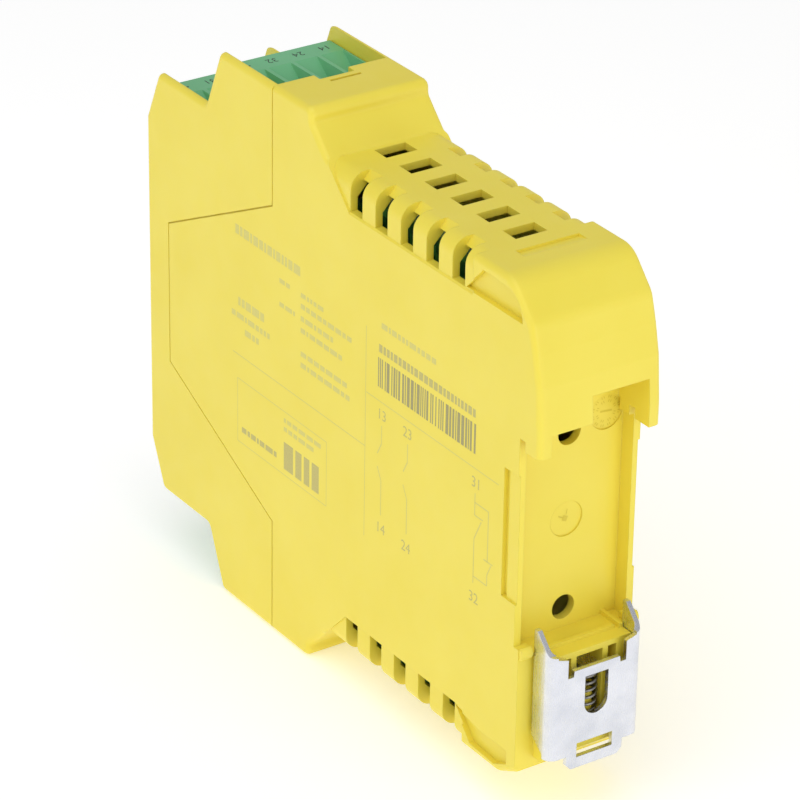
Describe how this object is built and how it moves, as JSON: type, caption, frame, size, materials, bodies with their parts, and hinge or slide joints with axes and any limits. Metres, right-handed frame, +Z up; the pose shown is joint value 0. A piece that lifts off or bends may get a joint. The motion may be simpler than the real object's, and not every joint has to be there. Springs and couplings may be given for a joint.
{
  "type": "rail-mounted safety relay",
  "caption": "Slim yellow safety relay with stepped pluggable screw terminals, vented humps and a sprung metal foot catch for a mounting rail.",
  "frame": {"origin": "middle of the plane where the side flanges sit on the mounting rail, half way across the width", "axes": "+X across the width, +Y to the rear (towards the rail), +Z up"},
  "size_m": [0.0226, 0.1145, 0.099],
  "materials": {
    "yellow_polyamide": "fine satin moulded",
    "green_polyamide": "satin moulded",
    "zinc_plated_steel": "bright zinc plated",
    "spring_steel": "drawn wire",
    "tinned_copper": "tin plated",
    "board_laminate": "solder mask",
    "relay_case": "matt",
    "capacitor_sleeve": "shrink sleeve",
    "front_foil": "matt film",
    "clear_polycarbonate": "clear",
    "led_resin": "cast resin"
  },
  "bodies": {
    "housing": {"rear_housing": "yellow_polyamide", "front_housing": "yellow_polyamide", "front_label": "front_foil", "light_guides": "clear_polycarbonate", "main_board": "board_laminate", "led_emitters": "led_resin", "relay_k1": "relay_case", "relay_k2": "relay_case", "capacitors": "capacitor_sleeve", "foot_spring": "spring_steel", "header_top_front": "green_polyamide", "header_pins_top_front": "tinned_copper", "header_top_rear": "green_polyamide", "header_pins_top_rear": "tinned_copper", "header_bottom_front": "green_polyamide", "header_pins_bottom_front": "tinned_copper", "header_bottom_rear": "green_polyamide", "header_pins_bottom_rear": "tinned_copper"},
    "catch": {"foot_catch": "zinc_plated_steel"},
    "plug_top_front": {"plug_top_front": "green_polyamide", "plug_contacts_top_front": "tinned_copper"},
    "screw_top_front_1": {"screw_top_front_1": "zinc_plated_steel"},
    "cage_top_front_1": {"cage_top_front_1": "zinc_plated_steel"},
    "screw_top_front_2": {"screw_top_front_2": "zinc_plated_steel"},
    "cage_top_front_2": {"cage_top_front_2": "zinc_plated_steel"},
    "screw_top_front_3": {"screw_top_front_3": "zinc_plated_steel"},
    "cage_top_front_3": {"cage_top_front_3": "zinc_plated_steel"},
    "screw_top_front_4": {"screw_top_front_4": "zinc_plated_steel"},
    "cage_top_front_4": {"cage_top_front_4": "zinc_plated_steel"},
    "plug_top_rear": {"plug_top_rear": "green_polyamide", "plug_contacts_top_rear": "tinned_copper"},
    "screw_top_rear_1": {"screw_top_rear_1": "zinc_plated_steel"},
    "cage_top_rear_1": {"cage_top_rear_1": "zinc_plated_steel"},
    "screw_top_rear_2": {"screw_top_rear_2": "zinc_plated_steel"},
    "cage_top_rear_2": {"cage_top_rear_2": "zinc_plated_steel"},
    "screw_top_rear_3": {"screw_top_rear_3": "zinc_plated_steel"},
    "cage_top_rear_3": {"cage_top_rear_3": "zinc_plated_steel"},
    "screw_top_rear_4": {"screw_top_rear_4": "zinc_plated_steel"},
    "cage_top_rear_4": {"cage_top_rear_4": "zinc_plated_steel"},
    "plug_bottom_front": {"plug_bottom_front": "green_polyamide", "plug_contacts_bottom_front": "tinned_copper"},
    "screw_bottom_front_1": {"screw_bottom_front_1": "zinc_plated_steel"},
    "cage_bottom_front_1": {"cage_bottom_front_1": "zinc_plated_steel"},
    "screw_bottom_front_2": {"screw_bottom_front_2": "zinc_plated_steel"},
    "cage_bottom_front_2": {"cage_bottom_front_2": "zinc_plated_steel"},
    "screw_bottom_front_3": {"screw_bottom_front_3": "zinc_plated_steel"},
    "cage_bottom_front_3": {"cage_bottom_front_3": "zinc_plated_steel"},
    "screw_bottom_front_4": {"screw_bottom_front_4": "zinc_plated_steel"},
    "cage_bottom_front_4": {"cage_bottom_front_4": "zinc_plated_steel"},
    "plug_bottom_rear": {"plug_bottom_rear": "green_polyamide", "plug_contacts_bottom_rear": "tinned_copper"},
    "screw_bottom_rear_1": {"screw_bottom_rear_1": "zinc_plated_steel"},
    "cage_bottom_rear_1": {"cage_bottom_rear_1": "zinc_plated_steel"},
    "screw_bottom_rear_2": {"screw_bottom_rear_2": "zinc_plated_steel"},
    "cage_bottom_rear_2": {"cage_bottom_rear_2": "zinc_plated_steel"},
    "screw_bottom_rear_3": {"screw_bottom_rear_3": "zinc_plated_steel"},
    "cage_bottom_rear_3": {"cage_bottom_rear_3": "zinc_plated_steel"},
    "screw_bottom_rear_4": {"screw_bottom_rear_4": "zinc_plated_steel"},
    "cage_bottom_rear_4": {"cage_bottom_rear_4": "zinc_plated_steel"}
  },
  "joints": [
    {"name": "foot_catch_slide", "type": "slide", "parent": "housing", "child": "catch", "axis": [0, 0, -1], "range_m": [0, 0.004], "stiffness_N_per_m": 1500, "springref_m": -0.003, "deforming": ["foot_spring"]},
    {"name": "plug_top_front_pull", "type": "slide", "parent": "housing", "child": "plug_top_front", "axis": [0, 0, 1], "range_m": [0, 0.012]},
    {"name": "screw_top_front_1_turn", "type": "hinge", "parent": "plug_top_front", "child": "screw_top_front_1", "pos_m": [-0.0075, -0.1041, 0.0295], "axis": [0, 1, 0], "range_deg": [0, 1728]},
    {"name": "cage_top_front_1_lift", "type": "slide", "parent": "plug_top_front", "child": "cage_top_front_1", "axis": [0, -1, 0], "range_m": [0, 0.0024]},
    {"name": "screw_top_front_2_turn", "type": "hinge", "parent": "plug_top_front", "child": "screw_top_front_2", "pos_m": [-0.0025, -0.1041, 0.0295], "axis": [0, 1, 0], "range_deg": [0, 1728]},
    {"name": "cage_top_front_2_lift", "type": "slide", "parent": "plug_top_front", "child": "cage_top_front_2", "axis": [0, -1, 0], "range_m": [0, 0.0024]},
    {"name": "screw_top_front_3_turn", "type": "hinge", "parent": "plug_top_front", "child": "screw_top_front_3", "pos_m": [0.0025, -0.1041, 0.0295], "axis": [0, 1, 0], "range_deg": [0, 1728]},
    {"name": "cage_top_front_3_lift", "type": "slide", "parent": "plug_top_front", "child": "cage_top_front_3", "axis": [0, -1, 0], "range_m": [0, 0.0024]},
    {"name": "screw_top_front_4_turn", "type": "hinge", "parent": "plug_top_front", "child": "screw_top_front_4", "pos_m": [0.0075, -0.1041, 0.0295], "axis": [0, 1, 0], "range_deg": [0, 1728]},
    {"name": "cage_top_front_4_lift", "type": "slide", "parent": "plug_top_front", "child": "cage_top_front_4", "axis": [0, -1, 0], "range_m": [0, 0.0024]},
    {"name": "plug_top_rear_pull", "type": "slide", "parent": "housing", "child": "plug_top_rear", "axis": [0, 0, 1], "range_m": [0, 0.012]},
    {"name": "screw_top_rear_1_turn", "type": "hinge", "parent": "plug_top_rear", "child": "screw_top_rear_1", "pos_m": [-0.0075, -0.0849, 0.0401], "axis": [0, 1, 0], "range_deg": [0, 1728]},
    {"name": "cage_top_rear_1_lift", "type": "slide", "parent": "plug_top_rear", "child": "cage_top_rear_1", "axis": [0, -1, 0], "range_m": [0, 0.0024]},
    {"name": "screw_top_rear_2_turn", "type": "hinge", "parent": "plug_top_rear", "child": "screw_top_rear_2", "pos_m": [-0.0025, -0.0849, 0.0401], "axis": [0, 1, 0], "range_deg": [0, 1728]},
    {"name": "cage_top_rear_2_lift", "type": "slide", "parent": "plug_top_rear", "child": "cage_top_rear_2", "axis": [0, -1, 0], "range_m": [0, 0.0024]},
    {"name": "screw_top_rear_3_turn", "type": "hinge", "parent": "plug_top_rear", "child": "screw_top_rear_3", "pos_m": [0.0025, -0.0849, 0.0401], "axis": [0, 1, 0], "range_deg": [0, 1728]},
    {"name": "cage_top_rear_3_lift", "type": "slide", "parent": "plug_top_rear", "child": "cage_top_rear_3", "axis": [0, -1, 0], "range_m": [0, 0.0024]},
    {"name": "screw_top_rear_4_turn", "type": "hinge", "parent": "plug_top_rear", "child": "screw_top_rear_4", "pos_m": [0.0075, -0.0849, 0.0401], "axis": [0, 1, 0], "range_deg": [0, 1728]},
    {"name": "cage_top_rear_4_lift", "type": "slide", "parent": "plug_top_rear", "child": "cage_top_rear_4", "axis": [0, -1, 0], "range_m": [0, 0.0024]},
    {"name": "plug_bottom_front_pull", "type": "slide", "parent": "housing", "child": "plug_bottom_front", "axis": [0, 0, -1], "range_m": [0, 0.012]},
    {"name": "screw_bottom_front_1_turn", "type": "hinge", "parent": "plug_bottom_front", "child": "screw_bottom_front_1", "pos_m": [-0.0075, -0.1041, -0.0295], "axis": [0, 1, 0], "range_deg": [0, 1728]},
    {"name": "cage_bottom_front_1_lift", "type": "slide", "parent": "plug_bottom_front", "child": "cage_bottom_front_1", "axis": [0, -1, 0], "range_m": [0, 0.0024]},
    {"name": "screw_bottom_front_2_turn", "type": "hinge", "parent": "plug_bottom_front", "child": "screw_bottom_front_2", "pos_m": [-0.0025, -0.1041, -0.0295], "axis": [0, 1, 0], "range_deg": [0, 1728]},
    {"name": "cage_bottom_front_2_lift", "type": "slide", "parent": "plug_bottom_front", "child": "cage_bottom_front_2", "axis": [0, -1, 0], "range_m": [0, 0.0024]},
    {"name": "screw_bottom_front_3_turn", "type": "hinge", "parent": "plug_bottom_front", "child": "screw_bottom_front_3", "pos_m": [0.0025, -0.1041, -0.0295], "axis": [0, 1, 0], "range_deg": [0, 1728]},
    {"name": "cage_bottom_front_3_lift", "type": "slide", "parent": "plug_bottom_front", "child": "cage_bottom_front_3", "axis": [0, -1, 0], "range_m": [0, 0.0024]},
    {"name": "screw_bottom_front_4_turn", "type": "hinge", "parent": "plug_bottom_front", "child": "screw_bottom_front_4", "pos_m": [0.0075, -0.1041, -0.0295], "axis": [0, 1, 0], "range_deg": [0, 1728]},
    {"name": "cage_bottom_front_4_lift", "type": "slide", "parent": "plug_bottom_front", "child": "cage_bottom_front_4", "axis": [0, -1, 0], "range_m": [0, 0.0024]},
    {"name": "plug_bottom_rear_pull", "type": "slide", "parent": "housing", "child": "plug_bottom_rear", "axis": [0, 0, -1], "range_m": [0, 0.012]},
    {"name": "screw_bottom_rear_1_turn", "type": "hinge", "parent": "plug_bottom_rear", "child": "screw_bottom_rear_1", "pos_m": [-0.0075, -0.0849, -0.0401], "axis": [0, 1, 0], "range_deg": [0, 1728]},
    {"name": "cage_bottom_rear_1_lift", "type": "slide", "parent": "plug_bottom_rear", "child": "cage_bottom_rear_1", "axis": [0, -1, 0], "range_m": [0, 0.0024]},
    {"name": "screw_bottom_rear_2_turn", "type": "hinge", "parent": "plug_bottom_rear", "child": "screw_bottom_rear_2", "pos_m": [-0.0025, -0.0849, -0.0401], "axis": [0, 1, 0], "range_deg": [0, 1728]},
    {"name": "cage_bottom_rear_2_lift", "type": "slide", "parent": "plug_bottom_rear", "child": "cage_bottom_rear_2", "axis": [0, -1, 0], "range_m": [0, 0.0024]},
    {"name": "screw_bottom_rear_3_turn", "type": "hinge", "parent": "plug_bottom_rear", "child": "screw_bottom_rear_3", "pos_m": [0.0025, -0.0849, -0.0401], "axis": [0, 1, 0], "range_deg": [0, 1728]},
    {"name": "cage_bottom_rear_3_lift", "type": "slide", "parent": "plug_bottom_rear", "child": "cage_bottom_rear_3", "axis": [0, -1, 0], "range_m": [0, 0.0024]},
    {"name": "screw_bottom_rear_4_turn", "type": "hinge", "parent": "plug_bottom_rear", "child": "screw_bottom_rear_4", "pos_m": [0.0075, -0.0849, -0.0401], "axis": [0, 1, 0], "range_deg": [0, 1728]},
    {"name": "cage_bottom_rear_4_lift", "type": "slide", "parent": "plug_bottom_rear", "child": "cage_bottom_rear_4", "axis": [0, -1, 0], "range_m": [0, 0.0024]}
  ],
  "couplings": [
    {"joint": "screw_top_front_1_turn", "follows": "cage_top_front_1_lift", "rad_per_m": 12566},
    {"joint": "screw_top_front_2_turn", "follows": "cage_top_front_2_lift", "rad_per_m": 12566},
    {"joint": "screw_top_front_3_turn", "follows": "cage_top_front_3_lift", "rad_per_m": 12566},
    {"joint": "screw_top_front_4_turn", "follows": "cage_top_front_4_lift", "rad_per_m": 12566},
    {"joint": "screw_top_rear_1_turn", "follows": "cage_top_rear_1_lift", "rad_per_m": 12566},
    {"joint": "screw_top_rear_2_turn", "follows": "cage_top_rear_2_lift", "rad_per_m": 12566},
    {"joint": "screw_top_rear_3_turn", "follows": "cage_top_rear_3_lift", "rad_per_m": 12566},
    {"joint": "screw_top_rear_4_turn", "follows": "cage_top_rear_4_lift", "rad_per_m": 12566},
    {"joint": "screw_bottom_front_1_turn", "follows": "cage_bottom_front_1_lift", "rad_per_m": 12566},
    {"joint": "screw_bottom_front_2_turn", "follows": "cage_bottom_front_2_lift", "rad_per_m": 12566},
    {"joint": "screw_bottom_front_3_turn", "follows": "cage_bottom_front_3_lift", "rad_per_m": 12566},
    {"joint": "screw_bottom_front_4_turn", "follows": "cage_bottom_front_4_lift", "rad_per_m": 12566},
    {"joint": "screw_bottom_rear_1_turn", "follows": "cage_bottom_rear_1_lift", "rad_per_m": 12566},
    {"joint": "screw_bottom_rear_2_turn", "follows": "cage_bottom_rear_2_lift", "rad_per_m": 12566},
    {"joint": "screw_bottom_rear_3_turn", "follows": "cage_bottom_rear_3_lift", "rad_per_m": 12566},
    {"joint": "screw_bottom_rear_4_turn", "follows": "cage_bottom_rear_4_lift", "rad_per_m": 12566}
  ]
}
